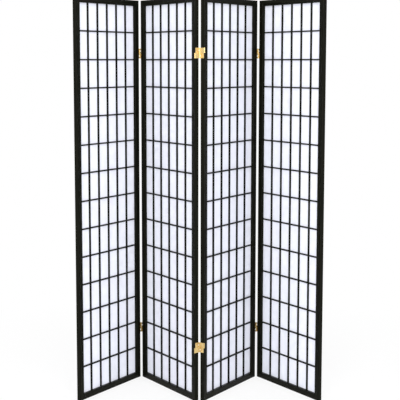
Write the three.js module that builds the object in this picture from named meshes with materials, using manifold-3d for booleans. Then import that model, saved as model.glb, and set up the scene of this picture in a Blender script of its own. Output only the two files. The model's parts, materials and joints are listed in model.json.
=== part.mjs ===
// A four-panel shoji folding screen: black lacquered timber frames with a glued lattice of
// slender bars, paper behind the lattice, and two double-acting brass hinges at each fold.
// Millimetres. X runs across the screen, Y from the front to the back, and Z up. The origin is on
// the floor at the middle of the screen's footprint.
import * as THREE from "three";
import { mergeVertices } from "three/addons/utils/BufferGeometryUtils.js";
import Module from "manifold-3d";

const wasm = await Module();
wasm.setup();

// Whole screen
const PANEL_COUNT = 4;
const PANEL_HEIGHT = 1785;
const PANEL_WIDTH = 432;
const FOLD_ANGLE = 71; // degrees between two neighbouring panels as the screen stands

// Frame of one panel
const FRAME_THICKNESS = 19;
const STILE_WIDTH = 26;
const TOP_RAIL_HEIGHT = 26;
const BOTTOM_RAIL_HEIGHT = 26;
const ARRIS_RADIUS = 1.5;
const TENON_LENGTH = 17;
const TENON_THICKNESS = 7;
const TENON_HEIGHT = 12;
const TENON_FRONT = 5; // from the front face of the frame to the tenon
const REBATE_WIDTH = 7; // the step round the back of the opening, which takes the paper's edge

// Lattice and paper
const COLUMNS = 6;
const ROWS = 14;
const BAR_WIDTH = 6;
const BAR_DEPTH = 7;
const LATTICE_RECESS = 6.5; // from the front face of the frame to the uprights
const CROSSBAR_SETBACK = 0.5; // the crossbars lie this far behind the uprights
const HOUSING_DEPTH = 5; // how far the ends of the bars are let into the frame
const PAPER_THICKNESS = 0.4;
const PAPER_MARGIN = 1; // from the paper's edge to the side of the rebate

// Hinges
const HINGES_PER_FOLD = 2;
const HINGE_END_DISTANCE = 243; // from the end of the panel to the middle of the hinge
const HINGE_LENGTH = 45;
const KNUCKLES_PER_HALF = 3; // on each barrel, in the lower and in the upper half of the hinge
const KNUCKLE_CLEARANCE = 0.3;
const BARREL_RADIUS = 2.4;
const BARREL_STANDOFF = 0.9; // between the barrel and the face of the frame
const PIN_RADIUS = 1.2;
const PIN_CLEARANCE = 0.1;
const LEAF_THICKNESS = 1;
const LEAF_MARGIN = 1.2; // from the leaf's long edges to the faces of the frame
const LINK_THICKNESS = 1;
const SCREWS_PER_LEAF = 2;
const SCREW_END_DISTANCE = 11;
const SCREW_STAGGER = 6;
const SCREW_HOLE_RADIUS = 1.5;
const SCREW_SINK_RADIUS = 2.6;

// Fits
const SEAT_GAP = 0.2; // between faces that bear on each other
const SIDE_CLEARANCE = 0.3; // round a bar's end or a tenon in its pocket
const OVERCUT = 1; // how far a cutter stands out of the piece that it cuts

// Facets
const ARRIS_SIDES = 2; // chords in each rounded corner
const BARREL_SIDES = 8;
const BORE_SIDES = 6;
const SCREW_SIDES = 6;
const PIN_SIDES = 6;

// Places that follow from the driving dimensions
const OPENING_WIDTH = PANEL_WIDTH - 2 * STILE_WIDTH;
const OPENING_HEIGHT = PANEL_HEIGHT - TOP_RAIL_HEIGHT - BOTTOM_RAIL_HEIGHT;
const LEDGE_Y = LATTICE_RECESS + BAR_DEPTH;
const HINGE_GAP = 2 * (BARREL_RADIUS + SEAT_GAP);
const PIN_PROUD = BARREL_RADIUS + BARREL_STANDOFF;
const PIN_Y = FRAME_THICKNESS / 2 + PIN_PROUD;
const KNUCKLE_PITCH = HINGE_LENGTH / 2 / KNUCKLES_PER_HALF;
const TURN_AT_FOLD = THREE.MathUtils.degToRad(180 - FOLD_ANGLE);

const lacquer = () =>
  new THREE.MeshStandardMaterial({ color: 0x161713, roughness: 0.42, metalness: 0 });
const paper = () =>
  new THREE.MeshStandardMaterial({ color: 0xeceef6, roughness: 0.9, metalness: 0 });
const brass = () =>
  new THREE.MeshStandardMaterial({ color: 0xc79a4b, roughness: 0.32, metalness: 1 });

// ---- solids ------------------------------------------------------------------------------------

function toSolid(geometry) {
  geometry.deleteAttribute("normal");
  geometry.deleteAttribute("uv");
  const merged = mergeVertices(geometry, 1e-3);
  const mesh = new wasm.Mesh({
    numProp: 3,
    vertProperties: merged.attributes.position.array,
    triVerts: new Uint32Array(merged.index.array),
  });
  return new wasm.Manifold(mesh);
}

function toGeometry(solid) {
  const mesh = solid.getMesh();
  const geometry = new THREE.BufferGeometry();
  geometry.setAttribute("position", new THREE.BufferAttribute(mesh.vertProperties, 3));
  geometry.setIndex(new THREE.BufferAttribute(mesh.triVerts, 1));
  geometry.computeVertexNormals();
  return geometry;
}

// three.js cuts an arc of any length into twice as many chords as its curveSegments. A corner of
// the section is a quarter of a circle, and a barrel most of one.
function segmentsFor(sides) {
  return Math.ceil(sides / 2);
}

// A block between two values on each axis, given in either order.
function block(x, y, z) {
  const geometry = new THREE.BoxGeometry(
    Math.abs(x[1] - x[0]),
    Math.abs(y[1] - y[0]),
    Math.abs(z[1] - z[0]),
  );
  geometry.translate((x[0] + x[1]) / 2, (y[0] + y[1]) / 2, (z[0] + z[1]) / 2);
  return toSolid(geometry);
}

// Values spread evenly from the first to the last, or the one in the middle.
function spread(count, first, last) {
  if (count === 1) return [(first + last) / 2];
  return Array.from({ length: count }, (_, i) => first + ((last - first) * i) / (count - 1));
}

// A rectangle from the origin with its four corners rounded.
function roundedSection(width, height, radius) {
  const shape = new THREE.Shape();
  shape.absarc(width - radius, radius, radius, -Math.PI / 2, 0, false);
  shape.absarc(width - radius, height - radius, radius, 0, Math.PI / 2, false);
  shape.absarc(radius, height - radius, radius, Math.PI / 2, Math.PI, false);
  shape.absarc(radius, radius, radius, Math.PI, 1.5 * Math.PI, false);
  shape.closePath();
  return shape;
}

// Centres of the bars that divide a span into equal cells.
function barCentres(span, cells) {
  const cell = (span - (cells - 1) * BAR_WIDTH) / cells;
  return Array.from({ length: cells - 1 }, (_, i) => (i + 1) * cell + (i + 0.5) * BAR_WIDTH);
}

const columnCentres = barCentres(OPENING_WIDTH, COLUMNS);
const rowCentres = barCentres(OPENING_HEIGHT, ROWS);

// ---- frame -------------------------------------------------------------------------------------

// Middle of a rail's tenon, measured from the rail's outer edge. The tenon keeps clear of the
// rebate, which takes the inner edge of the rail.
function tenonMiddle(railHeight) {
  return (railHeight - REBATE_WIDTH) / 2;
}

// A stile of full height. Its outer edge is at x = 0 and its inner edge at x = side * STILE_WIDTH.
function stileGeometry(side) {
  const section = roundedSection(STILE_WIDTH, FRAME_THICKNESS, ARRIS_RADIUS);
  const bar = new THREE.ExtrudeGeometry(section, {
    depth: PANEL_HEIGHT,
    bevelEnabled: false,
    curveSegments: segmentsFor(ARRIS_SIDES),
  });
  if (side < 0) bar.translate(-STILE_WIDTH, 0, 0);
  let stile = toSolid(bar);
  const inner = side * STILE_WIDTH;
  const past = inner + side * OVERCUT;
  const rebate = block(
    [inner - side * REBATE_WIDTH, past],
    [LEDGE_Y, FRAME_THICKNESS + OVERCUT],
    [BOTTOM_RAIL_HEIGHT - REBATE_WIDTH, PANEL_HEIGHT - TOP_RAIL_HEIGHT + REBATE_WIDTH],
  );
  stile = stile.subtract(rebate);
  const halfSlot = BAR_WIDTH / 2 + SIDE_CLEARANCE;
  for (const row of rowCentres) {
    const z = BOTTOM_RAIL_HEIGHT + row;
    const housing = block(
      [inner - side * HOUSING_DEPTH, past],
      [LATTICE_RECESS + CROSSBAR_SETBACK - SIDE_CLEARANCE, LEDGE_Y + OVERCUT],
      [z - halfSlot, z + halfSlot],
    );
    stile = stile.subtract(housing);
  }
  const halfMortise = TENON_HEIGHT / 2 + SIDE_CLEARANCE;
  const mortiseHeights = [
    tenonMiddle(BOTTOM_RAIL_HEIGHT),
    PANEL_HEIGHT - tenonMiddle(TOP_RAIL_HEIGHT),
  ];
  for (const z of mortiseHeights) {
    const mortise = block(
      [inner - side * (TENON_LENGTH + SIDE_CLEARANCE), past],
      [TENON_FRONT - SIDE_CLEARANCE, TENON_FRONT + TENON_THICKNESS + SIDE_CLEARANCE],
      [z - halfMortise, z + halfMortise],
    );
    stile = stile.subtract(mortise);
  }
  return toGeometry(stile);
}

// A rail between the stiles, with a tenon at each end. Its outer edge is at z = 0 and its inner
// edge at z = side * height.
function railGeometry(height, side) {
  const length = OPENING_WIDTH - 2 * SEAT_GAP;
  const section = roundedSection(FRAME_THICKNESS, height, ARRIS_RADIUS);
  const bar = new THREE.ExtrudeGeometry(section, {
    depth: length,
    bevelEnabled: false,
    curveSegments: segmentsFor(ARRIS_SIDES),
  });
  // The section's x becomes the panel's depth, its y the height and its extrusion the length.
  bar.applyMatrix4(
    new THREE.Matrix4().makeBasis(
      new THREE.Vector3(0, 1, 0),
      new THREE.Vector3(0, 0, 1),
      new THREE.Vector3(1, 0, 0),
    ),
  );
  if (side < 0) bar.translate(0, 0, -height);
  let rail = toSolid(bar);
  const inner = side * height;
  const past = inner + side * OVERCUT;
  const rebate = block(
    [-OVERCUT, length + OVERCUT],
    [LEDGE_Y, FRAME_THICKNESS + OVERCUT],
    [inner - side * REBATE_WIDTH, past],
  );
  rail = rail.subtract(rebate);
  const halfSlot = BAR_WIDTH / 2 + SIDE_CLEARANCE;
  for (const column of columnCentres) {
    const x = column - SEAT_GAP;
    const housing = block(
      [x - halfSlot, x + halfSlot],
      [LATTICE_RECESS - SIDE_CLEARANCE, LEDGE_Y + OVERCUT],
      [inner - side * HOUSING_DEPTH, past],
    );
    rail = rail.subtract(housing);
  }
  const middle = side * tenonMiddle(height);
  const tenon = block(
    [-TENON_LENGTH + SEAT_GAP, length + TENON_LENGTH - SEAT_GAP],
    [TENON_FRONT, TENON_FRONT + TENON_THICKNESS],
    [middle - TENON_HEIGHT / 2, middle + TENON_HEIGHT / 2],
  );
  return toGeometry(rail.add(tenon));
}

// ---- lattice and paper -------------------------------------------------------------------------

// The uprights and crossbars, half-lapped where they cross and glued up as one grid. The origin is
// the lower left corner of the opening, at the front face of the frame.
function latticeGeometry() {
  const reach = HOUSING_DEPTH - SIDE_CLEARANCE;
  const uprights = columnCentres.map((x) =>
    block(
      [x - BAR_WIDTH / 2, x + BAR_WIDTH / 2],
      [LATTICE_RECESS, LEDGE_Y],
      [-reach, OPENING_HEIGHT + reach],
    ),
  );
  const crossbars = rowCentres.map((z) =>
    block(
      [-reach, OPENING_WIDTH + reach],
      [LATTICE_RECESS + CROSSBAR_SETBACK, LEDGE_Y],
      [z - BAR_WIDTH / 2, z + BAR_WIDTH / 2],
    ),
  );
  const grid = [...uprights, ...crossbars].reduce((joined, bar) => joined.add(bar));
  return toGeometry(grid);
}

// One sheet behind the whole lattice, its edge lapped onto the ledge of the rebate.
function paperGeometry() {
  const lap = REBATE_WIDTH - PAPER_MARGIN;
  const width = OPENING_WIDTH + 2 * lap;
  const height = OPENING_HEIGHT + 2 * lap;
  const sheet = new THREE.BoxGeometry(width, PAPER_THICKNESS, height);
  return sheet.translate(OPENING_WIDTH / 2, PAPER_THICKNESS / 2, OPENING_HEIGHT / 2);
}

// ---- hinges ------------------------------------------------------------------------------------

// A double-acting hinge has a barrel on either face of the screen, and folds about the one or the
// other. Its two leaves are alike, and so are the two links between them. In the lower half of the
// hinge a link runs from the left leaf's front knuckles to the right leaf's back knuckles, and in
// the upper half one runs from the right leaf's front knuckles to the left leaf's back knuckles.
// Each geometry below is the left leaf or the lower link. Turned by half a turn about Y it is the
// right leaf or the upper link. X runs across the gap between the stiles, Y is 0 at the middle of
// the frame's thickness, and Z is 0 at the middle of the hinge's length.

// The lowest and highest point of a knuckle in the lower half.
function knuckleSpan(i) {
  const low = -HINGE_LENGTH / 2 + i * KNUCKLE_PITCH;
  return [low + (i > 0 ? KNUCKLE_CLEARANCE / 2 : 0), low + KNUCKLE_PITCH - KNUCKLE_CLEARANCE / 2];
}

// A knuckle of the front barrel: its outline round the pin's axis, and the neck from xLow to xHigh
// that joins it to a plate behind it.
function knuckleGeometry(xLow, xHigh, neckEnd, bored, [low, high]) {
  const outline = new THREE.Shape();
  const leaves = Math.acos(xLow / BARREL_RADIUS);
  const joins = Math.acos(xHigh / BARREL_RADIUS);
  outline.moveTo(xLow, neckEnd);
  outline.absarc(0, 0, BARREL_RADIUS, leaves, joins, false);
  outline.lineTo(xHigh, neckEnd);
  outline.closePath();
  if (bored) {
    const radius = (PIN_RADIUS + PIN_CLEARANCE) / Math.cos(Math.PI / BORE_SIDES);
    const corners = Array.from({ length: BORE_SIDES }, (_, i) => {
      const angle = (2 * Math.PI * i) / BORE_SIDES;
      return new THREE.Vector2(radius * Math.cos(angle), radius * Math.sin(angle));
    });
    outline.holes.push(new THREE.Path().setFromPoints(corners).closePath());
  }
  const knuckle = new THREE.ExtrudeGeometry(outline, {
    depth: high - low,
    bevelEnabled: false,
    curveSegments: segmentsFor(BARREL_SIDES),
  });
  return knuckle.translate(0, -PIN_Y, low);
}

// A pin that is peened flush into the leaf's knuckles and runs through the link's between them.
function pinGeometry() {
  const pin = new THREE.CylinderGeometry(PIN_RADIUS, PIN_RADIUS, 2 * KNUCKLE_PITCH, PIN_SIDES);
  return pin.rotateX(Math.PI / 2).translate(0, -PIN_Y, -HINGE_LENGTH / 4);
}

// A geometry and the same one half a turn round X, which is its place on the other barrel.
function onBothBarrels(geometry) {
  return [toSolid(geometry.clone()), toSolid(geometry.clone().rotateX(Math.PI))];
}

const leafKnuckles = spread(KNUCKLES_PER_HALF, 0, KNUCKLES_PER_HALF - 1).filter((i) => i % 2 === 0);
const linkKnuckles = spread(KNUCKLES_PER_HALF, 0, KNUCKLES_PER_HALF - 1).filter((i) => i % 2 === 1);

// The plate on the edge of the left panel's stile, with its knuckles and pins.
function leafGeometry() {
  const back = -BARREL_RADIUS;
  const face = LEAF_THICKNESS - BARREL_RADIUS;
  const edge = FRAME_THICKNESS / 2 - LEAF_MARGIN;
  const half = HINGE_LENGTH / 2;
  const neckEnd = PIN_PROUD + LEAF_MARGIN + OVERCUT;
  let leaf = block([back, face], [-edge, edge], [-half, half]);
  for (const i of leafKnuckles) {
    const knuckle = knuckleGeometry(back, face, neckEnd, false, knuckleSpan(i));
    for (const solid of onBothBarrels(knuckle)) leaf = leaf.add(solid);
  }
  for (const solid of onBothBarrels(pinGeometry())) leaf = leaf.add(solid);
  for (const place of screwPlaces()) leaf = leaf.subtract(countersink(place));
  return toGeometry(leaf);
}

// The plate between the leaves in the lower half, with a bored knuckle on either barrel.
function linkGeometry() {
  const face = LINK_THICKNESS / 2;
  const edge = PIN_Y - BARREL_RADIUS - KNUCKLE_CLEARANCE;
  const neckEnd = BARREL_RADIUS + KNUCKLE_CLEARANCE + OVERCUT;
  const ends = [-HINGE_LENGTH / 2, -KNUCKLE_CLEARANCE / 2];
  let link = block([-face, face], [-edge, edge], ends);
  for (const i of linkKnuckles) {
    const knuckle = knuckleGeometry(-face, face, neckEnd, true, knuckleSpan(i));
    const opposite = knuckle.clone().rotateZ(Math.PI);
    link = link.add(toSolid(knuckle)).add(toSolid(opposite));
  }
  return toGeometry(link);
}

// Screw centres on a leaf, staggered along it.
function screwPlaces() {
  const end = HINGE_LENGTH / 2 - SCREW_END_DISTANCE;
  return spread(SCREWS_PER_LEAF, -end, end).map((z, i) => ({
    y: i % 2 ? SCREW_STAGGER / 2 : -SCREW_STAGGER / 2,
    z,
  }));
}

// A cone through the leaf, widest on the face that the link closes against.
function countersink(place) {
  const slope = (SCREW_SINK_RADIUS - SCREW_HOLE_RADIUS) / LEAF_THICKNESS;
  const height = LEAF_THICKNESS + 2 * SEAT_GAP;
  const wide = SCREW_SINK_RADIUS + slope * SEAT_GAP;
  const narrow = SCREW_HOLE_RADIUS - slope * SEAT_GAP;
  const cone = new THREE.CylinderGeometry(wide, narrow, height, SCREW_SIDES);
  cone.rotateZ(-Math.PI / 2);
  cone.translate(LEAF_THICKNESS / 2 - BARREL_RADIUS, place.y, place.z);
  return toSolid(cone);
}

// ---- assembly ----------------------------------------------------------------------------------

function piece(name, geometry, material, x, y, z) {
  const mesh = new THREE.Mesh(geometry, material);
  mesh.name = name;
  mesh.position.set(x, y, z);
  return mesh;
}

const leftStile = stileGeometry(1);
const rightStile = stileGeometry(-1);
const topRail = railGeometry(TOP_RAIL_HEIGHT, -1);
const bottomRail = railGeometry(BOTTOM_RAIL_HEIGHT, 1);
const lattice = latticeGeometry();
const sheet = paperGeometry();

// A panel's own frame has its origin at the lower left corner of its front face.
function makePanel(number) {
  const panel = new THREE.Group();
  panel.name = `panel_${number}`;
  const add = (name, geometry, material, x, y, z) =>
    panel.add(piece(`${panel.name}_${name}`, geometry, material, x, y, z));
  const railX = STILE_WIDTH + SEAT_GAP;
  add("left_stile", leftStile, lacquer(), 0, 0, 0);
  add("right_stile", rightStile, lacquer(), PANEL_WIDTH, 0, 0);
  add("bottom_rail", bottomRail, lacquer(), railX, 0, 0);
  add("top_rail", topRail, lacquer(), railX, 0, PANEL_HEIGHT);
  add("lattice", lattice, lacquer(), STILE_WIDTH, 0, BOTTOM_RAIL_HEIGHT);
  add("paper", sheet, paper(), STILE_WIDTH, LEDGE_Y + SEAT_GAP, BOTTOM_RAIL_HEIGHT);
  return panel;
}

const leaf = leafGeometry();
const link = linkGeometry();

// The hinges of one fold. Where the front faces close together the fold turns about the front
// barrels, and each link lies on the leaf that holds it by its back knuckle. Where the back faces
// close together it is the other way round.
function addHinges(number, left, right, foldsForward) {
  const heights = spread(
    HINGES_PER_FOLD,
    HINGE_END_DISTANCE,
    PANEL_HEIGHT - HINGE_END_DISTANCE,
  );
  heights.forEach((z, i) => {
    const name = `hinge_${number}${number + 1}_${i + 1}`;
    const seat = (panel, part, geometry, turned) => {
      const x = panel === left ? PANEL_WIDTH + HINGE_GAP / 2 : -HINGE_GAP / 2;
      const mesh = piece(`${name}_${part}`, geometry, brass(), x, FRAME_THICKNESS / 2, z);
      if (turned) mesh.rotation.y = Math.PI;
      panel.add(mesh);
    };
    seat(left, "left_leaf", leaf, false);
    seat(right, "right_leaf", leaf, true);
    seat(foldsForward ? right : left, "lower_link", link, false);
    seat(foldsForward ? left : right, "upper_link", link, true);
  });
}

// Each panel hangs on the one to its left, turned about the pins that close against each other.
function makeScreen() {
  const screen = new THREE.Group();
  let panel = makePanel(1);
  panel.rotation.z = TURN_AT_FOLD / 2;
  screen.add(panel);
  for (let number = 1; number < PANEL_COUNT; number += 1) {
    const foldsForward = number % 2 === 1;
    const pinY = foldsForward ? -PIN_PROUD : FRAME_THICKNESS + PIN_PROUD;
    const fold = new THREE.Group();
    fold.position.set(PANEL_WIDTH + HINGE_GAP / 2, pinY, 0);
    fold.rotation.z = foldsForward ? -TURN_AT_FOLD : TURN_AT_FOLD;
    const next = makePanel(number + 1);
    next.position.set(HINGE_GAP / 2, -pinY, 0);
    addHinges(number, panel, next, foldsForward);
    fold.add(next);
    panel.add(fold);
    panel = next;
  }
  screen.updateMatrixWorld(true);
  const footprint = new THREE.Box3().setFromObject(screen, true);
  const middle = footprint.getCenter(new THREE.Vector3());
  screen.position.set(-middle.x, -middle.y, 0);
  return screen;
}

const foldingScreen = new THREE.Group();
foldingScreen.name = "shoji_folding_screen";
foldingScreen.add(makeScreen());

export default foldingScreen;
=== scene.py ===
import json
import math
import random

import bmesh
import bpy
from bpy.props import FloatProperty, FloatVectorProperty, IntProperty, PointerProperty
from mathutils import Matrix, Vector

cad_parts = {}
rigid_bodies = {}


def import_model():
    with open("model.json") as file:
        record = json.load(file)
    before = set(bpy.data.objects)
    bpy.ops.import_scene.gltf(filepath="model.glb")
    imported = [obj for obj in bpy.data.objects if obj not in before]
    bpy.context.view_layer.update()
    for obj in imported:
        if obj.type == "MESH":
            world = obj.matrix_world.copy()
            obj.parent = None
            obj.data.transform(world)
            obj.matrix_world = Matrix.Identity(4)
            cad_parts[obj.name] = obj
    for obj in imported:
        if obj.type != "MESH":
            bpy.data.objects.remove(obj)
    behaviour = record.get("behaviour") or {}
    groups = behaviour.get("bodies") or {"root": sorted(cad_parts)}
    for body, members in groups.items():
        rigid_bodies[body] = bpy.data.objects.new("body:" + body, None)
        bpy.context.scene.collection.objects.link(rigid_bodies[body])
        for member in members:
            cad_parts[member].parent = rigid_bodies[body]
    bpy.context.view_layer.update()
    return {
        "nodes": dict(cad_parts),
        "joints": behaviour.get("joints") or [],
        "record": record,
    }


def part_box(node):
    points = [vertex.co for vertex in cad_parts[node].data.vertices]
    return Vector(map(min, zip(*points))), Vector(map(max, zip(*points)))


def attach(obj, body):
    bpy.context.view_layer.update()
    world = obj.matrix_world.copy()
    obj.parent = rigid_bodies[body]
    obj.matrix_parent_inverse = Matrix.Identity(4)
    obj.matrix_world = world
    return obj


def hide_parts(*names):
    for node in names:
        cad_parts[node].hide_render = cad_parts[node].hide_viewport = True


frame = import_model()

bl_info = {
    "name": "Shoji folding screen",
    "version": (1, 0, 0),
    "blender": (4, 5, 0),
    "location": "3D View > Sidebar > Screen",
    "description": "Dresses a four-panel shoji folding screen in lacquer, paper and brass",
    "category": "Add Mesh",
}

PANEL_NAMES = ("panel_1", "panel_2", "panel_3", "panel_4")
COLUMNS = 6
ROWS = 14
BAR_WIDTH = 0.006
CROSSBAR_SETBACK = 0.0005  # the crossbars lie this far behind the uprights
REBATE_WIDTH = 0.007  # the step round the back of the opening
GRAIN_SPREAD = 5.0  # how far apart two pieces may lie in the same grain
MICROMETRES = 6  # decimals that keep a length in metres to the micrometre
SHARP_ANGLE = 50  # degrees between two faces, past which their edge is shaded sharp
EASED_ANGLE = 60  # degrees between two faces, past which their edge is eased
TAUT_SHARE = 0.2  # the paper's slack is drawn from minus this share to 1, and is taut below 0
DOME_ANGLES = (60, 30, 0)  # degrees up a pin's domed end, from its top to its rim
HEAD_RIM = 0.0001  # the bevel round the top of a screw's head
FLOOR_SIDES = 96
KNUCKLES_PER_HALF = 3
FRONT_PIN, BACK_PIN = 0, 1  # the detours that take a hinge plate round a pin
HINGE_NUMBERS = (1, 2)
HINGE_PLATES = (  # each plate of a hinge, and whether it is turned over
    ("left_leaf", False),
    ("right_leaf", True),
    ("lower_link", False),
    ("upper_link", True),
)


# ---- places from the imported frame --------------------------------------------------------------


def panel_axes(name):
    """Matrix from a panel's own axes to the frame, found from its flat sheet of paper."""
    paper = frame["nodes"][f"{name}_paper"].data.vertices
    corners = sorted({(round(v.co.x, MICROMETRES), round(v.co.y, MICROMETRES)) for v in paper})
    left = (Vector(corners[0]) + Vector(corners[1])) / 2
    right = (Vector(corners[-1]) + Vector(corners[-2])) / 2
    across = (right - left).to_3d().normalized()
    back = Vector((0, 0, 1)).cross(across)
    turn = Matrix((across, back, Vector((0, 0, 1)))).transposed().to_4x4()
    corner = node_span(f"{name}_left_stile", turn)[0]
    return turn @ Matrix.Translation(corner)


def node_span(node, axes):
    """Lowest and highest corner of a CAD node in a panel's axes."""
    seen = [axes.inverted() @ v.co for v in frame["nodes"][node].data.vertices]
    low = Vector(min(p[i] for p in seen) for i in range(3))
    high = Vector(max(p[i] for p in seen) for i in range(3))
    return low, high


class ScreenPanel:
    """The axes of one panel and the sizes that its pieces share."""

    def __init__(self, name):
        self.name = name
        self.axes = panel_axes(name)
        left_low, left_high = node_span(f"{name}_left_stile", self.axes)
        right_low, right_high = node_span(f"{name}_right_stile", self.axes)
        bottom_high = node_span(f"{name}_bottom_rail", self.axes)[1]
        top_low = node_span(f"{name}_top_rail", self.axes)[0]
        lattice_low, lattice_high = node_span(f"{name}_lattice", self.axes)
        self.width = right_high.x
        self.thickness = left_high.y
        self.height = left_high.z
        self.stile_width = left_high.x
        self.opening_u = (left_high.x, right_low.x)
        self.opening_z = (bottom_high.z, top_low.z)
        self.lattice_v = (lattice_low.y, lattice_high.y)
        self.paper_span = node_span(f"{name}_paper", self.axes)
        self.columns = bar_centres(*self.opening_u, COLUMNS)
        self.rows = bar_centres(*self.opening_z, ROWS)


def bar_centres(low, high, cells):
    """Middles of the bars that divide an opening into equal cells."""
    cell = (high - low - (cells - 1) * BAR_WIDTH) / cells
    return [low + (i + 1) * cell + (i + 0.5) * BAR_WIDTH for i in range(cells - 1)]


PANELS = {name: ScreenPanel(name) for name in PANEL_NAMES}


# ---- meshes ------------------------------------------------------------------------------------


def arc(x, y, radius, start, end, steps):
    """Points on an arc, with its angles in degrees."""
    angles = [math.radians(start + (end - start) * i / steps) for i in range(steps + 1)]
    return [(x + radius * math.cos(a), y + radius * math.sin(a)) for a in angles]


def grain_layer(bm):
    """The layer that says where each vertex lies along, across and through its material."""
    layers = bm.verts.layers.float_vector
    return layers.get("grain") or layers.new("grain")


def grain_start(name):
    """A place in the grain that is always the same for the same piece."""
    chance = random.Random(name)
    return Vector(chance.uniform(0, GRAIN_SPREAD) for _ in range(3))


def add_prism(bm, outline, stretches, place, start, detours=()):
    """Adds a bar whose outline may change along its length, as one closed shell.

    The outline's points run round the bar. A detour (first, last, points) is another way from
    one of them to a later one. Each stretch is (low, high, detours taken). place turns an
    outline point and a distance along the bar into a place in the frame, and start is where
    the bar lies in its material's grain.
    """
    grain = grain_layer(bm)
    points = {("outline", i): point for i, point in enumerate(outline)}
    for number, (_, _, detour) in enumerate(detours):
        points.update({(number, i): point for i, point in enumerate(detour)})

    def way(number):
        first, last, detour = detours[number]
        return [("outline", first), *((number, i) for i in range(len(detour))), ("outline", last)]

    def loop(taken):
        keys = []
        i = 0
        while i < len(outline):
            number = next((n for n in taken if detours[n][0] == i), None)
            if number is None:
                keys.append(("outline", i))
                i += 1
            else:
                keys += way(number)[:-1]
                i = detours[number][1]
        return keys

    levels = [stretches[0][0], *(high for _, high, _ in stretches)]
    made = {}

    def vertex(level, key):
        if (level, key) not in made:
            x, y = points[key]
            vert = bm.verts.new(place(x, y, levels[level]))
            vert[grain] = Vector((levels[level], x, y)) + start
            made[level, key] = vert
        return made[level, key]

    for level, (_, _, taken) in enumerate(stretches):
        keys = loop(taken)
        for a, b in zip(keys, keys[1:] + keys[:1]):
            bm.faces.new(
                (vertex(level, a), vertex(level, b), vertex(level + 1, b), vertex(level + 1, a))
            )
        before = stretches[level - 1][2] if level else taken
        for number in set(before).symmetric_difference(taken):
            first, last, _ = detours[number]
            inner = [("outline", i) for i in range(last - 1, first, -1)]
            bm.faces.new([vertex(level, key) for key in way(number) + inner])
    bm.faces.new([vertex(0, key) for key in loop(stretches[0][2])])
    bm.faces.new([vertex(len(stretches), key) for key in loop(stretches[-1][2])])


def finish_mesh(bm, name):
    """Makes a mesh with its faces turned out, and empties bm."""
    bmesh.ops.recalc_face_normals(bm, faces=bm.faces)
    mesh = bpy.data.meshes.new(name)
    bm.to_mesh(mesh)
    bm.free()
    return shade_smooth(mesh)


def shade_smooth(mesh):
    """Shades a mesh smooth across rounded edges and sharp across square ones."""
    mesh.polygons.foreach_set("use_smooth", [True] * len(mesh.polygons))
    mesh.set_sharp_from_angle(angle=math.radians(SHARP_ANGLE))
    return mesh


def add_piece(name, mesh, body, slot, nodes=()):
    """Puts a piece into the scene, in its slot's finish, and hands it to its body."""
    mesh.name = name
    mesh.materials.append(finish_of(slot))
    piece = bpy.data.objects.new(name, mesh)
    bpy.context.scene.collection.objects.link(piece)
    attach(piece, body)
    if nodes:
        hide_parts(*nodes)
    return piece


def keep_flats_flat(piece):
    """Shades the large faces flat beside their rounded edges."""
    modifier = piece.modifiers.new("even_shading", "WEIGHTED_NORMAL")
    modifier.keep_sharp = True


def ease_edges(piece, width):
    """Takes the sharpness off the edges that no arris rounds."""
    modifier = piece.modifiers.new("eased_edges", "BEVEL")
    modifier.width = width
    modifier.segments = 2
    modifier.limit_method = "ANGLE"
    modifier.angle_limit = math.radians(EASED_ANGLE)


# ---- materials ---------------------------------------------------------------------------------


# How often each noise repeats in a metre along, across and through a piece.
TIMBER_PORES = (22, 900, 900)
BRUSH_MARKS = (5, 160, 160)
GLOSS_PATCHES = (9, 25, 25)
PAPER_CLOUDS = (28, 28, 28)
PAPER_PULP = (420, 420, 420)
PAPER_FIBRES = (190, 90, 1)
POLISHING_LINES = (70, 3000, 3000)
TARNISH = (160, 160, 160)

NOISE_RANGE = (0.35, 0.65)  # where most of a noise's values lie
NOISE_MIDDLE = 0.5
FIBRE_WIDTH = 0.012  # how far from the middle of its noise a fibre's edge lies
PORE_DEPTH = 0.7  # beside a depth of 1 for the brush marks
CLOUD_SHARE, PULP_SHARE = 0.6, 0.4  # of the paper's changes in thickness

# The roughness that a noise gives a finish, at the low and at the high end of the noise.
BRUSHED_LACQUER = (-0.06, 0.08)  # added to the lacquer's own
PATCHY_LACQUER = (-0.05, 0.05)  # added to it too
POLISHED_BRASS = (0.14, 0.3)
TARNISHED_BRASS = (0.1, 0)  # added to that of the polished brass

MIX_FIRST, MIX_SECOND, MIX_RESULT = 6, 7, 2  # a Mix node's sockets for colours
WHITE = (1, 1, 1, 1)
FLOOR_PAINT = (0.9, 0.9, 0.9, 1)


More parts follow.
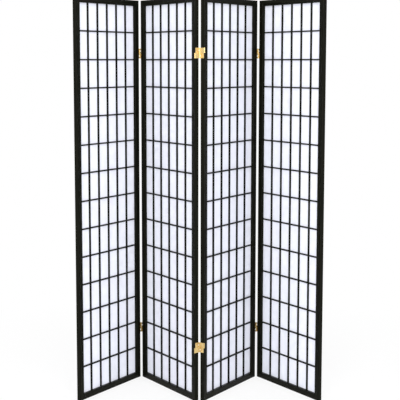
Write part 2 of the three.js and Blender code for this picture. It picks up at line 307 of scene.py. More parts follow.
class Shades:
    """Makes the nodes of a material or of the world."""

    def __init__(self, owner):
        owner.use_nodes = True
        self.owner = owner
        self.tree = owner.node_tree
        self.tree.nodes.clear()

    def node(self, kind, inputs=None, **settings):
        """A node with its settings. Each of its inputs takes a value or another node's output."""
        node = self.tree.nodes.new(f"ShaderNode{kind}")
        for name, value in settings.items():
            setattr(node, name, value)
        for name, value in (inputs or {}).items():
            socket = node.inputs[name]
            if isinstance(value, bpy.types.NodeSocket):
                self.tree.links.new(value, socket)
            else:
                socket.default_value = value
        return node

    def maths(self, operation, *values):
        """The result of one operation on values or other nodes' outputs."""
        return self.node("Math", dict(enumerate(values)), operation=operation).outputs[0]

    def noise(self, scale, detail, roughness=0.5, distortion=0.0):
        """Noise in a piece's own grain."""
        place = self.node("Attribute", attribute_name="grain").outputs["Vector"]
        stretched = self.node("Mapping", {"Vector": place, "Scale": scale}).outputs["Vector"]
        return self.node(
            "TexNoise",
            {
                "Vector": stretched,
                "Scale": 1.0,
                "Detail": detail,
                "Roughness": roughness,
                "Distortion": distortion,
            },
        ).outputs["Fac"]

    def spread(self, value, low, high, known=NOISE_RANGE):
        """Stretches a value so that its known range becomes low to high."""
        start, end = known
        return self.node(
            "MapRange",
            {"Value": value, "From Min": start, "From Max": end, "To Min": low, "To Max": high},
        ).outputs["Result"]

    def tones(self, value, colour, darkest, lightest=1.0):
        """A colour times darkest where value is 0, and times lightest where it is 1."""
        mix = self.node("Mix", {"Factor": value}, data_type="RGBA")
        for socket, brightness in ((MIX_FIRST, darkest), (MIX_SECOND, lightest)):
            tone = [channel * brightness for channel in colour]
            mix.inputs[socket].default_value = (*tone, 1)
        return mix.outputs[MIX_RESULT]

    def bump(self, height, strength, distance):
        return self.node(
            "Bump", {"Height": height, "Strength": strength, "Distance": distance}
        ).outputs["Normal"]

    def mix(self, share, first, second):
        """Two shader nodes in one, with the given share of the second."""
        sockets = {0: share, 1: first.outputs[0], 2: second.outputs[0]}
        return self.node("MixShader", sockets)

    def finish(self, shader, output="OutputMaterial"):
        """The material or world, with this shader node on its surface."""
        self.node(output, {"Surface": shader.outputs[0]})
        return self.owner


def black_lacquer(name, finish):
    """Thin black lacquer, brushed along timber whose pores still show through it."""
    shades = Shades(bpy.data.materials.new(name))
    pores = shades.noise(TIMBER_PORES, detail=4, roughness=0.65)
    brushing = shades.noise(BRUSH_MARKS, detail=3)
    patches = shades.noise(GLOSS_PATCHES, detail=2)
    patchy = [finish.lacquer_roughness + change for change in PATCHY_LACQUER]
    roughness = shades.maths(
        "ADD", shades.spread(brushing, *BRUSHED_LACQUER), shades.spread(patches, *patchy)
    )
    relief = shades.maths("ADD", shades.spread(pores, 0, PORE_DEPTH), brushing)
    shader = shades.node(
        "BsdfPrincipled",
        {
            "Base Color": shades.tones(
                shades.spread(brushing, 0, 1), finish.lacquer, darkest=0.7, lightest=1.5
            ),
            "Roughness": roughness,
            "Specular IOR Level": finish.lacquer_gloss,
            "Specular Tint": (*finish.lacquer_tint, 1),
            "Normal": shades.bump(relief, strength=0.3, distance=0.0003),
        },
    )
    return shades.finish(shader)


def mulberry_paper(name, finish):
    """Machine-made mulberry paper: cloudy where it is thicker, with fibres lying every way."""
    shades = Shades(bpy.data.materials.new(name))
    clouds = shades.noise(PAPER_CLOUDS, detail=4, roughness=0.6)
    pulp = shades.noise(PAPER_PULP, detail=3, distortion=2.5)
    strands = shades.noise(PAPER_FIBRES, detail=2, roughness=0.4, distortion=3.5)
    fibres = shades.maths("COMPARE", strands, NOISE_MIDDLE, FIBRE_WIDTH)
    body = shades.maths(
        "ADD", shades.spread(clouds, 0, CLOUD_SHARE), shades.spread(pulp, 0, PULP_SHARE)
    )
    thickness = shades.maths("MAXIMUM", body, fibres)
    colour = shades.tones(thickness, finish.paper, darkest=0.92)
    face = shades.node(
        "BsdfPrincipled",
        {
            "Base Color": colour,
            "Roughness": finish.paper_roughness,
            "Specular IOR Level": finish.paper_gloss,
            "Normal": shades.bump(thickness, strength=0.3, distance=0.0002),
        },
    )
    through = shades.node("BsdfTranslucent", {"Color": colour})
    return shades.finish(shades.mix(finish.paper_translucency, face, through))


def rolled_brass(name, finish):
    """Rolled brass, lightly polished along its length and a little dulled."""
    shades = Shades(bpy.data.materials.new(name))
    polish = shades.noise(POLISHING_LINES, detail=3, roughness=0.7)
    tarnish = shades.noise(TARNISH, detail=4, roughness=0.6)
    roughness = shades.maths(
        "ADD", shades.spread(polish, *POLISHED_BRASS), shades.spread(tarnish, *TARNISHED_BRASS)
    )
    shader = shades.node(
        "BsdfPrincipled",
        {
            "Base Color": shades.tones(shades.spread(tarnish, 0, 1), finish.brass, darkest=0.78),
            "Metallic": 1.0,
            "Roughness": roughness,
            "Normal": shades.bump(polish, strength=0.1, distance=0.0001),
        },
    )
    return shades.finish(shader)


FINISHES = {  # for each slot, the name of its finish and what makes it
    "lacquered_wood": ("black_lacquer", black_lacquer),
    "shoji_paper": ("mulberry_paper", mulberry_paper),
    "brass": ("rolled_brass", rolled_brass),
}


def finish_of(slot):
    """The finish of a slot, made when it is first asked for."""
    name, make = FINISHES[slot]
    return bpy.data.materials.get(name) or make(name, bpy.context.scene.shoji_finish)


# ---- frames ------------------------------------------------------------------------------------


def frame_outline(width, panel, radius, steps):
    """Outline of a stile or rail from its outer edge, and its detour where it has no rebate."""
    depth = panel.thickness
    ledge = panel.lattice_v[1]
    far = width - radius
    outline = [
        *arc(radius, radius, radius, 180, 270, steps),
        *arc(far, radius, radius, 270, 360, steps),
        (width, ledge),
        (width - REBATE_WIDTH, ledge),
        (width - REBATE_WIDTH, depth),
        *arc(radius, depth - radius, radius, 90, 180, steps),
    ]
    notch = 2 * (steps + 1)  # the rebate's first point, after those of two arrises
    corner = arc(far, depth - radius, radius, 0, 90, steps)
    return outline, (notch, notch + 2, corner)


def build_stile(panel, side, sizes):
    """A stile of full height, rebated behind the opening."""
    outline, corner = frame_outline(
        panel.stile_width, panel, sizes.arris_radius, sizes.arris_steps
    )
    low = panel.opening_z[0] - REBATE_WIDTH
    high = panel.opening_z[1] + REBATE_WIDTH
    stretches = [(0, low, [0]), (low, high, []), (high, panel.height, [0])]
    edge = 0 if side == "left" else panel.width
    inward = 1 if side == "left" else -1
    name = f"{panel.name}_{side}_stile"
    bm = bmesh.new()
    add_prism(
        bm,
        outline,
        stretches,
        lambda x, y, along: panel.axes @ Vector((edge + inward * x, y, along)),
        grain_start(name),
        [corner],
    )
    finish_frame_piece(bm, name, panel, sizes)


def build_rail(panel, end, sizes):
    """A rail between the stiles, rebated along its whole length."""
    bottom = end == "bottom"
    width = panel.opening_z[0] if bottom else panel.height - panel.opening_z[1]
    outline, _ = frame_outline(width, panel, sizes.arris_radius, sizes.arris_steps)
    low, high = panel.opening_u
    stretches = [(low + sizes.joint_gap, high - sizes.joint_gap, [])]
    edge = 0 if bottom else panel.height
    inward = 1 if bottom else -1
    name = f"{panel.name}_{end}_rail"
    bm = bmesh.new()
    add_prism(
        bm,
        outline,
        stretches,
        lambda x, y, along: panel.axes @ Vector((along, y, edge + inward * x)),
        grain_start(name),
    )
    finish_frame_piece(bm, name, panel, sizes)


def finish_frame_piece(bm, node, panel, sizes):
    """Puts a stile or rail into the scene, with its ends and its rebate eased."""
    name = f"{node}_timber"
    piece = add_piece(name, finish_mesh(bm, name), panel.name, "lacquered_wood", [node])
    ease_edges(piece, sizes.eased_edge)
    keep_flats_flat(piece)


# ---- lattice and paper -------------------------------------------------------------------------


def bar_outline(whole, kept, radius, steps):
    """Outline of a bar where another crosses it, and the way round what is cut away there.

    whole is where the bar's full depth begins and ends, and kept is the half left at a crossing.
    """
    half = BAR_WIDTH / 2
    front, back = whole
    fronts = [
        *arc(-half + radius, front + radius, radius, 180, 270, steps),
        *arc(half - radius, front + radius, radius, 270, 360, steps),
    ]
    backs = [(half, back), (-half, back)]
    middle = kept[1] if kept[0] == front else kept[0]
    cut = [(half, middle), (-half, middle)]
    if kept[0] == front:
        return [*fronts, *cut], (len(fronts), len(fronts) + 1, backs)
    turned = [(-half, middle), (half, middle)]
    return [*turned, *backs], (0, 1, fronts)


def lapped_stretches(low, high, crossings):
    """Stretches of a bar, of full depth except under the bars that cross it."""
    stretches = []
    begin = low
    for middle in crossings:
        stretches.append((begin, middle - BAR_WIDTH / 2, [0]))
        begin = middle + BAR_WIDTH / 2
        stretches.append((middle - BAR_WIDTH / 2, begin, []))
    stretches.append((begin, high, [0]))
    return stretches


def build_bars(panel, kind, sizes):
    """All the uprights or all the crossbars of a panel, half-lapped where they cross."""
    upright = kind == "uprights"
    front, back = panel.lattice_v
    half_lap = (front + CROSSBAR_SETBACK + back) / 2
    if upright:
        outline, detour = bar_outline(
            (front, back), (front, half_lap), sizes.bar_arris, sizes.bar_arris_steps
        )
        centres, crossings = panel.columns, panel.rows
        low, high = panel.opening_z
    else:
        near = front + CROSSBAR_SETBACK
        outline, detour = bar_outline(
            (near, back), (half_lap, back), sizes.bar_arris, sizes.bar_arris_steps
        )
        centres, crossings = panel.rows, panel.columns
        low, high = panel.opening_u
    stretches = lapped_stretches(low - sizes.bar_reach, high + sizes.bar_reach, crossings)
    bm = bmesh.new()
    for i, centre in enumerate(centres):

        def place(x, y, along, centre=centre):
            u, z = (centre + x, along) if upright else (along, centre + x)
            return panel.axes @ Vector((u, y, z))

        add_prism(bm, outline, stretches, place, grain_start(f"{panel.name}_{kind}_{i}"), [detour])
    name = f"{panel.name}_{kind}"
    mesh = finish_mesh(bm, name)
    piece = add_piece(name, mesh, panel.name, "lacquered_wood", [f"{panel.name}_lattice"])
    keep_flats_flat(piece)


def cell_stops(low, high, centres, steps):
    """Where the paper's mesh is divided: at both edges of each bar, and between them."""
    edges = [low]
    for centre in centres:
        edges += [centre - BAR_WIDTH / 2, centre + BAR_WIDTH / 2]
    edges.append(high)
    stops = []
    for begin, end in zip(edges[::2], edges[1::2]):
        stops += [begin + (end - begin) * i / steps for i in range(steps + 1)]
    return stops


def build_paper(panel, sizes):
    """One sheet, glued to the ledge and the bars, and a little slack inside each cell."""
    low, high = panel.paper_span
    chance = random.Random(f"{panel.name}_paper")
    across = [low.x, *cell_stops(*panel.opening_u, panel.columns, sizes.cell_steps), high.x]
    upward = [low.z, *cell_stops(*panel.opening_z, panel.rows, sizes.cell_steps), high.z]
    glued_across = cell_edges(across, sizes.cell_steps)
    glued_upward = cell_edges(upward, sizes.cell_steps)
    slack = {}
    for i in range(len(across)):
        for j in range(len(upward)):
            free = i not in glued_across and j not in glued_upward
            slack[i, j] = chance.uniform(-TAUT_SHARE, 1) * sizes.slack if free else 0.0
    front = panel.lattice_v[1] + sizes.glue_line
    bm = bmesh.new()
    grain = grain_layer(bm)
    start = grain_start(f"{panel.name}_paper")
    sides = []
    for depth in (0, sizes.thickness):
        verts = {}
        for (i, j), bulge in slack.items():
            local = Vector((across[i], front + depth + max(bulge, 0), upward[j]))
            verts[i, j] = bm.verts.new(panel.axes @ local)
            verts[i, j][grain] = Vector((local.z, local.x, 0)) + start
        sides.append(verts)
    last_i, last_j = len(across) - 1, len(upward) - 1
    for verts in sides:
        for i in range(last_i):
            for j in range(last_j):
                bm.faces.new((verts[i, j], verts[i + 1, j], verts[i + 1, j + 1], verts[i, j + 1]))
    rim = [(i, 0) for i in range(last_i)]
    rim += [(last_i, j) for j in range(last_j)]
    rim += [(i, last_j) for i in range(last_i, 0, -1)]
    rim += [(0, j) for j in range(last_j, 0, -1)]
    near, far = sides
    for a, b in zip(rim, rim[1:] + rim[:1]):
        bm.faces.new((near[a], near[b], far[b], far[a]))
    name = f"{panel.name}_paper_sheet"
    mesh = finish_mesh(bm, name)
    add_piece(name, mesh, panel.name, "shoji_paper", [f"{panel.name}_paper"])


def cell_edges(stops, steps):
    """Numbers of the stops that lie on a bar or on the ledge."""
    inside = range(1, len(stops) - 1)
    return {0, len(stops) - 1, *(i for i in inside if (i - 1) % (steps + 1) in (0, steps))}


# ---- hinges ------------------------------------------------------------------------------------


class Fold:
    """The hinges of one fold: the panels that they join, and where their pins are.

    A hinge has axes of its own: x across the fold, y from front to back with 0 at the middle of
    the frame's thickness, and z up from the middle of the hinge.
    """

    def __init__(self, joint, panels):
        first, second = sorted((joint["parent"], joint["child"]))
        self.left, self.right = panels[first], panels[second]
        self.name = f"hinge_{first[-1]}{second[-1]}"
        pin = Vector(joint["pos_m"])
        seen = self.left.axes.inverted() @ pin
        self.left_u = seen.x
        self.right_u = (self.right.axes.inverted() @ pin).x
        self.half_depth = self.left.thickness / 2
        self.pin_out = abs(seen.y - self.half_depth)

    def body(self, node):
        """The panel that carries a hinge's node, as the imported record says."""
        bodies = frame["record"]["behaviour"]["bodies"]
        owner = next(name for name, nodes in bodies.items() if node in nodes)
        return self.left if owner == self.left.name else self.right

    def place(self, panel, height, turned):
        """Matrix of a hinge piece on its panel. A turned piece swaps sides and halves."""
        u = self.left_u if panel is self.left else self.right_u
        seat = panel.axes @ Matrix.Translation((u, self.half_depth, height))
        return seat @ Matrix.Rotation(math.pi, 4, "Y") if turned else seat


def curl_outline(outer_x, inner_x, pin_out, sizes):
    """The way from a plate's outer side round the front pin, and back along the bore."""
    radius = sizes.barrel_radius
    bore = sizes.pin_radius + sizes.pin_clearance
    lip = inner_x + sizes.knuckle_seam
    outside = arc(
        0,
        -pin_out,
        radius,
        math.degrees(math.acos(outer_x / radius)),
        360 + math.degrees(math.acos(lip / radius)),
        sizes.knuckle_steps,
    )
    inside = arc(
        0,
        -pin_out,
        bore,
        360 + math.degrees(math.acos(lip / bore)),
        math.degrees(math.acos(max(inner_x, -bore) / bore)),
        sizes.knuckle_steps,
    )
    return outside + inside


def curled_plate(name, sides, edge, pin_out, stretches, sizes):
    """A hinge plate that curls round a pin wherever a stretch takes that pin's detour."""
    low, high = sides
    outline = [(low, -edge), (high, -edge), (high, edge), (low, edge)]
    in_front = curl_outline(low, high, pin_out, sizes)
    behind = [(x, -y) for x, y in reversed(in_front)]
    bm = bmesh.new()
    add_prism(
        bm,
        outline,
        stretches,
        lambda x, y, along: Vector((x, y, along)),
        grain_start(name),
        [(0, 1, in_front), (2, 3, behind)],
    )
    return finish_mesh(bm, name)


def leaf_mesh(fold, sizes):
    """The left leaf: two knuckles on the front pin's lower half, two on the back pin's upper."""
    half = sizes.hinge_length / 2
    pitch = half / KNUCKLES_PER_HALF
    gap = sizes.knuckle_clearance / 2
    upper = [gap, pitch - gap, half - pitch + gap, half]
    marks = [-mark for mark in reversed(upper)] + upper
    knuckles = [[FRONT_PIN], [], [FRONT_PIN], [], [BACK_PIN], [], [BACK_PIN]]
    stretches = list(zip(marks, marks[1:], knuckles))
    back = -sizes.barrel_radius
    leaf = curled_plate(
        "hinge_leaf",
        (back, back + sizes.plate_thickness),
        fold.half_depth - sizes.leaf_margin,
        fold.pin_out,
        stretches,
        sizes,
    )
    slope = sizes.sink_radius - sizes.hole_radius
    cone = [
        (sizes.hole_radius - slope, -2 * sizes.plate_thickness),
        (sizes.sink_radius + slope, sizes.plate_thickness),
    ]
    bm = bmesh.new()
    for place in screw_places(sizes):
        add_turned(bm, cone, place, sizes.screw_steps)
    return cut_away(leaf, finish_mesh(bm, "countersinks"))


def link_mesh(fold, sizes):
    """The lower link: a knuckle on either pin, between those of the leaves."""
    half = sizes.hinge_length / 2
    pitch = half / KNUCKLES_PER_HALF
    gap = sizes.knuckle_clearance / 2
    marks = [-half, -half + pitch + gap, -pitch - gap, -gap]
    stretches = list(zip(marks, marks[1:], [[], [FRONT_PIN, BACK_PIN], []]))
    side = sizes.plate_thickness / 2
    edge = fold.pin_out - sizes.barrel_radius - sizes.knuckle_clearance
    return curled_plate("hinge_link", (-side, side), edge, fold.pin_out, stretches, sizes)


def pins_mesh(fold, sizes):
    """The left leaf's pins, with a low dome where their ends show."""
    half = sizes.hinge_length / 2
    radius = sizes.pin_radius
    dome = [
        (radius * math.cos(angle), -half - sizes.pin_dome * math.sin(angle))
        for angle in map(math.radians, DOME_ANGLES)
    ]
    profile = [*dome, (radius, -sizes.knuckle_clearance)]
    bm = bmesh.new()
    for side in (-1, 1):
        place = Matrix.Translation((0, side * fold.pin_out, 0))
        if side > 0:
            place = place @ Matrix.Rotation(math.pi, 4, "X")
        add_turned(bm, profile, place, sizes.knuckle_steps)
    return finish_mesh(bm, "hinge_pins")


def screw_places(sizes):
    """Matrices of the left leaf's screws, whose heads face the middle of the fold."""
    x = sizes.plate_thickness - sizes.barrel_radius
    places = []
    for side in (-1, 1):
        spot = Vector((x, side * sizes.screw_stagger / 2, side * sizes.screw_height))
        places.append(Matrix.Translation(spot) @ Matrix.Rotation(math.pi / 2, 4, "Y"))
    return places


def screws_mesh(sizes):
    """The left leaf's countersunk screws, with a cross cut into each head."""
    top = -sizes.screw_sunk
    profile = [
        (sizes.screw_tip, -sizes.screw_length),
        (sizes.screw_shank, -sizes.screw_length * sizes.screw_taper),
        (sizes.screw_shank, -sizes.plate_thickness),
        (sizes.screw_head, top - HEAD_RIM),
        (sizes.screw_head - HEAD_RIM, top),
    ]
    slot = Matrix.Diagonal((sizes.cross_length, sizes.cross_width, 2 * sizes.cross_depth, 1))
    screws = bmesh.new()
    crosses = bmesh.new()
    for place in screw_places(sizes):
        add_turned(screws, profile, place, sizes.screw_steps)
        for quarter in (0, math.pi / 2):
            turn = place @ Matrix.Rotation(quarter + sizes.cross_turn, 4, "Z")
            made = bmesh.ops.create_cube(crosses, size=1)["verts"]
            seat = turn @ Matrix.Translation((0, 0, top)) @ slot
            bmesh.ops.transform(crosses, matrix=seat, verts=made)
    return cut_away(finish_mesh(screws, "hinge_screws"), finish_mesh(crosses, "crosses"))


def add_turned(bm, profile, place, steps):
    """Adds a closed shell turned round the z axis of place. The profile is (radius, height)."""
    grain = grain_layer(bm)
    rings = []
    for radius, height in profile:
        ring = []
        for x, y in arc(0, 0, radius, 0, 360, steps)[:-1]:
            vert = bm.verts.new(place @ Vector((x, y, height)))
            vert[grain] = Vector((height, x, y))
            ring.append(vert)
        rings.append(ring)
    for low, high in zip(rings, rings[1:]):
        for i in range(steps):
            bm.faces.new((low[i - 1], low[i], high[i], high[i - 1]))
    bm.faces.new(rings[0])
    bm.faces.new(rings[-1])


def cut_away(mesh, cutter):
    """The mesh with the cutter's volume taken out of it."""
    scene = bpy.context.scene.collection.objects
    kept = bpy.data.objects.new("kept", mesh)
    taken = bpy.data.objects.new("taken", cutter)
    scene.link(kept)
    scene.link(taken)
    modifier = kept.modifiers.new("cut", "BOOLEAN")
    modifier.operation = "DIFFERENCE"
    modifier.solver = "EXACT"
    modifier.use_self = True
    modifier.object = taken
    bpy.context.view_layer.update()
    evaluated = kept.evaluated_get(bpy.context.evaluated_depsgraph_get())
    result = bpy.data.meshes.new_from_object(evaluated)
    result.name = mesh.name
    bpy.data.objects.remove(kept)
    bpy.data.objects.remove(taken)
    return shade_smooth(result)


def add_hinge_part(name, pattern, panel, place, nodes=()):
    """Puts a copy of a hinge's mesh in its place on a panel, with grain of its own."""
    mesh = pattern.copy()
    mesh.transform(place)
    start = grain_start(name)
    for point in mesh.attributes["grain"].data:
        point.vector += start
    return add_piece(name, mesh, panel.name, "brass", nodes)


def build_hinges(fold, meshes):
    """The two hinges of a fold: leaves with their pins and screws, and the links between."""
    for number in HINGE_NUMBERS:
        hinge = f"{fold.name}_{number}"
        low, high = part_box(f"{hinge}_left_leaf")
        height = (low.z + high.z) / 2
        for part, turned in HINGE_PLATES:
            node = f"{hinge}_{part}"
            panel = fold.body(node)
            place = fold.place(panel, height, turned)
            kind = part.split("_")[1]
            plate = add_hinge_part(f"{node}_brass", meshes[kind], panel, place, [node])
            keep_flats_flat(plate)
            if kind == "leaf":
                add_hinge_part(f"{node}_pins", meshes["pins"], panel, place)
                add_hinge_part(f"{node}_screws", meshes["screws"], panel, place)


# ---- stage -------------------------------------------------------------------------------------


def seen_directly(shades):
    """1 for what the camera sees, directly or in metal or through glass, and 0 for light."""
    path = shades.node("LightPath").outputs
    glossy = shades.maths("MAXIMUM", path["Is Camera Ray"], path["Is Glossy Ray"])
    return shades.maths("MAXIMUM", glossy, path["Is Transmission Ray"])


def floor_material(stage):
    """A white floor that keeps part of the shadow near the screen."""
    shades = Shades(bpy.data.materials.new("white_floor"))
    lit = shades.node("BsdfDiffuse", {"Color": FLOOR_PAINT})
    white = shades.node("Emission", {"Color": WHITE, "Strength": 1.0})
    place = shades.node("NewGeometry").outputs["Position"]
    away = shades.node("VectorMath", {0: place}, operation="LENGTH").outputs["Value"]
    whiteness = shades.spread(away, 1 - stage.shadow_share, 1, stage.shadow_fade)
    share = shades.maths("MULTIPLY", seen_directly(shades), whiteness)
    return shades.finish(shades.mix(share, lit, white))


def build_floor(stage):
    """A wide round floor under the screen."""
    bm = bmesh.new()
    bmesh.ops.create_circle(
        bm, cap_ends=True, radius=stage.floor_radius, segments=FLOOR_SIDES
    )
    mesh = bpy.data.meshes.new("floor")
    bm.to_mesh(mesh)
    bm.free()
    mesh.materials.append(floor_material(stage))
    floor = bpy.data.objects.new("floor", mesh)
    bpy.context.scene.collection.objects.link(floor)


def build_world(stage):
    """A white room: at full white where it is seen, and dimmer where it lights the screen."""
    shades = Shades(bpy.data.worlds.new("white_room"))
    strength = shades.spread(seen_directly(shades), stage.room_light, 1, known=(0, 1))
    background = shades.node("Background", {"Color": WHITE, "Strength": strength})
    bpy.context.scene.world = shades.finish(background, "OutputWorld")


def build_lamp(stage):
    """A soft square lamp in front of the screen."""
    light = bpy.data.lights.new("key_lamp", "AREA")
    light.shape = "SQUARE"
    light.size = stage.key_size
    light.energy = stage.key_power
    lamp = bpy.data.objects.new("key_lamp", light)
    lamp.location = stage.key_place
    aim = Vector(stage.key_target) - Vector(stage.key_place)
    lamp.rotation_euler = aim.to_track_quat("-Z", "Y").to_euler()
    bpy.context.scene.collection.objects.link(lamp)


def build_camera(stage):
    """The photograph's view, from a little above the middle of the screen."""
    data = bpy.data.cameras.new("camera")
    data.lens = stage.lens
    data.shift_x = stage.shift_right
    data.shift_y = -stage.shift_down
    camera = bpy.data.objects.new("camera", data)
    camera.location = stage.camera_place
    camera.rotation_euler = (math.pi / 2 - stage.camera_pitch, 0, 0)
    bpy.context.scene.collection.objects.link(camera)
    bpy.context.scene.camera = camera


# ---- settings ----------------------------------------------------------------------------------


def length_setting(name, description, default):
    return FloatProperty(
        name=name, description=description, default=default, min=0, precision=5, unit="LENGTH"
    )


def count_setting(name, description, default):
    return IntProperty(name=name, description=description, default=default, min=1)


def share_setting(name, description, default):
    return FloatProperty(
        name=name, description=description, default=default, min=0, max=1, subtype="FACTOR"
    )


def angle_setting(name, description, degrees):
    return FloatProperty(
        name=name, description=description, default=math.radians(degrees), subtype="ANGLE"
    )


def location_setting(name, description, default):
    return FloatVectorProperty(
        name=name, description=description, default=default, subtype="TRANSLATION"
    )


def colour_setting(name, description, default):
    return FloatVectorProperty(
        name=name, description=description, default=default, min=0, max=1, subtype="COLOR"
    )


class TimberSizes(bpy.types.PropertyGroup):
    """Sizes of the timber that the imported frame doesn't give."""

    arris_radius: length_setting("Arris radius", "Rounding of a frame's long edges", 0.0015)
    arris_steps: count_setting("Arris steps", "Facets in each rounded edge of a frame", 5)
    eased_edge: length_setting("Eased edge", "Rounding of a frame's ends and rebate", 0.0003)
    joint_gap: length_setting("Joint gap", "From a rail's shoulder to its stile", 0.0001)
    bar_arris: length_setting("Bar arris", "Rounding of the front edges of a bar", 0.0005)
    bar_arris_steps: count_setting("Bar arris steps", "Facets in each rounded edge of a bar", 2)
    bar_reach: length_setting("Bar reach", "How far a bar's end is let into the frame", 0.0001)


class PaperSizes(bpy.types.PropertyGroup):
    """Sizes of the sheets of paper."""

    thickness: length_setting("Thickness", "Thickness of the paper", 0.00025)
    glue_line: length_setting("Glue line", "From the back of the bars to the paper", 0.00003)
    slack: length_setting("Slack", "How far the paper stands off in a cell", 0.00035)
    cell_steps: count_setting("Cell steps", "Divisions of the paper across a cell", 4)


class HingeSizes(bpy.types.PropertyGroup):
    """Sizes of a hinge's pieces."""

    hinge_length: length_setting("Hinge length", "Height of a hinge", 0.045)
    barrel_radius: length_setting("Barrel radius", "Outer radius of the knuckles", 0.0024)
    knuckle_clearance: length_setting("Knuckle clearance", "Between two knuckles", 0.0003)
    knuckle_seam: length_setting("Knuckle seam", "From a knuckle's rolled lip to its plate", 0.00015)
    knuckle_steps: count_setting("Knuckle steps", "Facets round a knuckle or a pin", 28)
    plate_thickness: length_setting("Plate thickness", "Thickness of the leaves and links", 0.001)
    leaf_margin: length_setting("Leaf margin", "From a leaf's edge to the frame's face", 0.0012)
    pin_radius: length_setting("Pin radius", "Radius of the pins", 0.0012)
    pin_clearance: length_setting("Pin clearance", "Between a pin and its bore", 0.0001)
    pin_dome: length_setting("Pin dome", "Height of a pin's domed end", 0.0003)
    screw_stagger: length_setting("Screw stagger", "Between a leaf's screws, across it", 0.006)
    screw_height: length_setting("Screw height", "From the middle of a leaf to its screws", 0.0115)
    hole_radius: length_setting("Hole radius", "Radius of a screw hole at a leaf's back", 0.0015)
    sink_radius: length_setting("Sink radius", "Radius of a screw hole at a leaf's face", 0.0026)
    screw_head: length_setting("Screw head", "Radius of a screw's head", 0.0023)
    screw_shank: length_setting("Screw shank", "Radius of a screw's shank", 0.00112)
    screw_tip: length_setting("Screw tip", "Radius of a screw's tip", 0.00021)
    screw_length: length_setting("Screw length", "Length of a screw", 0.012)
    screw_taper: share_setting("Screw taper", "Where on its length a screw begins to taper", 0.7)
    screw_sunk: length_setting("Screw sunk", "From a leaf's face down to a screw's head", 0.0001)
    screw_steps: count_setting("Screw steps", "Facets round a screw", 24)
    cross_length: length_setting("Cross length", "Length of the slots in a screw's head", 0.00276)
    cross_width: length_setting("Cross width", "Width of the slots in a screw's head", 0.000644)
    cross_depth: length_setting("Cross depth", "Depth of the slots in a screw's head", 0.00048)
    cross_turn: angle_setting("Cross turn", "How far the slots are turned", 20)


class ScreenFinish(bpy.types.PropertyGroup):
    """Colours and gloss of the screen."""

    lacquer: colour_setting("Lacquer", "Colour of the lacquered timber", (0.0042, 0.0043, 0.0026))
    lacquer_roughness: share_setting("Lacquer roughness", "How dull the lacquer is", 0.3)
    lacquer_gloss: share_setting("Lacquer gloss", "Specular level of the lacquer", 0.065)
    lacquer_tint: colour_setting("Lacquer tint", "Tint of the lacquer's reflections", (1, 1, 0.88))
    paper: colour_setting("Paper", "Colour of the paper", (0.93, 0.94, 0.995))
    paper_roughness: share_setting("Paper roughness", "How dull the paper is", 0.92)
    paper_gloss: share_setting("Paper gloss", "Specular level of the paper", 0.15)
    paper_translucency: share_setting("Paper translucency", "How much light the paper lets on", 0.42)
    brass: colour_setting("Brass", "Colour of the hinges", (0.86, 0.64, 0.29))


class StageSizes(bpy.types.PropertyGroup):
    """The camera, the floor and the light."""

    camera_place: location_setting("Camera place", "Where the camera stands", (-0.0394, -4.479, 1.5079))
    camera_pitch: angle_setting("Camera pitch", "How far the camera looks down", 6)
    lens: FloatProperty(
        name="Lens",
        description="Focal length of the lens in millimetres",
        default=89.5,
        min=1,
        unit="CAMERA",
    )
    shift_right: share_setting("Shift right", "Sideways shift of the lens", 0.0237)
    shift_down: share_setting("Shift down", "Downward shift of the lens", 0.0863)
    floor_radius: length_setting("Floor radius", "Radius of the floor", 12.0)
    shadow_share: share_setting("Shadow share", "How much of the shadow the floor keeps", 0.2)
    shadow_fade: FloatVectorProperty(
        name="Shadow fade",
        description="Where the shadow begins to fade, and where it is gone",
        default=(0.7, 1.8),
        size=2,
        unit="LENGTH",
    )
    room_light: share_setting("Room light", "Light from the white room", 0.86)
    key_place: location_setting("Key place", "Where the lamp in front is", (-0.1, -4.2, 2.3))
    key_target: location_setting("Key target", "Where that lamp points", (0, 0, 0.9))
    key_size: length_setting("Key size", "Side of that lamp", 3.4)
    key_power: FloatProperty(
        name="Key power",
        description="Power of that lamp in watts",
        default=188,
        min=0,
        unit="POWER",
    )


SETTINGS = {
    "shoji_timber": TimberSizes,
    "shoji_paper": PaperSizes,
    "shoji_hinge": HingeSizes,
    "shoji_finish": ScreenFinish,
    "shoji_stage": StageSizes,
}


# ---- operators ---------------------------------------------------------------------------------


class SHOJI_OT_frames(bpy.types.Operator):
    """Build the stiles and rails of the panels"""

    bl_idname = "shoji.frames"
    bl_label = "Stiles and Rails"

    def execute(self, context):
        sizes = context.scene.shoji_timber
        for panel in PANELS.values():
            for side in ("left", "right"):
                build_stile(panel, side, sizes)
            for end in ("bottom", "top"):
                build_rail(panel, end, sizes)
        return {"FINISHED"}


class SHOJI_OT_lattices(bpy.types.Operator):
    """Build the uprights and crossbars of the panels"""

    bl_idname = "shoji.lattices"
    bl_label = "Lattices"

    def execute(self, context):
        for panel in PANELS.values():
            for kind in ("uprights", "crossbars"):
                build_bars(panel, kind, context.scene.shoji_timber)
        return {"FINISHED"}


class SHOJI_OT_papers(bpy.types.Operator):
    """Build the sheets of paper behind the lattices"""

    bl_idname = "shoji.papers"
    bl_label = "Paper"

    def execute(self, context):
        for panel in PANELS.values():
            build_paper(panel, context.scene.shoji_paper)
        return {"FINISHED"}


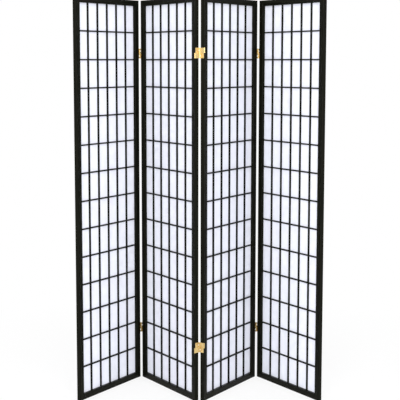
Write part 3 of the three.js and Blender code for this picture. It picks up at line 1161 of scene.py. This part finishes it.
class SHOJI_OT_hinges(bpy.types.Operator):
    """Build the double-acting hinges of the folds"""

    bl_idname = "shoji.hinges"
    bl_label = "Hinges"

    def execute(self, context):
        sizes = context.scene.shoji_hinge
        folds = [Fold(joint, PANELS) for joint in frame["joints"]]
        meshes = {
            "leaf": leaf_mesh(folds[0], sizes),
            "link": link_mesh(folds[0], sizes),
            "pins": pins_mesh(folds[0], sizes),
            "screws": screws_mesh(sizes),
        }
        for fold in folds:
            build_hinges(fold, meshes)
        return {"FINISHED"}


class SHOJI_OT_stage(bpy.types.Operator):
    """Build the floor, the light and the camera"""

    bl_idname = "shoji.stage"
    bl_label = "Stage"

    def execute(self, context):
        stage = context.scene.shoji_stage
        context.scene.view_settings.view_transform = "Standard"
        build_floor(stage)
        build_world(stage)
        build_lamp(stage)
        build_camera(stage)
        return {"FINISHED"}


OPERATORS = (
    SHOJI_OT_frames,
    SHOJI_OT_lattices,
    SHOJI_OT_papers,
    SHOJI_OT_hinges,
    SHOJI_OT_stage,
)


class SHOJI_PT_tools(bpy.types.Panel):
    """Lists what builds the screen, with its settings"""

    bl_idname = "SHOJI_PT_tools"
    bl_label = "Shoji Folding Screen"
    bl_space_type = "VIEW_3D"
    bl_region_type = "UI"
    bl_category = "Screen"

    def draw(self, context):
        for operator in OPERATORS:
            self.layout.operator(operator.bl_idname)
        for name, group in SETTINGS.items():
            box = self.layout.box()
            for setting in group.__annotations__:
                box.prop(getattr(context.scene, name), setting)


CLASSES = (*SETTINGS.values(), *OPERATORS, SHOJI_PT_tools)


def register():
    for kind in CLASSES:
        bpy.utils.register_class(kind)
    for name, group in SETTINGS.items():
        setattr(bpy.types.Scene, name, PointerProperty(type=group))


def unregister():
    for name in SETTINGS:
        delattr(bpy.types.Scene, name)
    for kind in reversed(CLASSES):
        bpy.utils.unregister_class(kind)


def main():
    register()
    bpy.ops.shoji.frames()
    bpy.ops.shoji.lattices()
    bpy.ops.shoji.papers()
    bpy.ops.shoji.hinges()
    bpy.ops.shoji.stage()


if __name__ == "__main__":
    main()
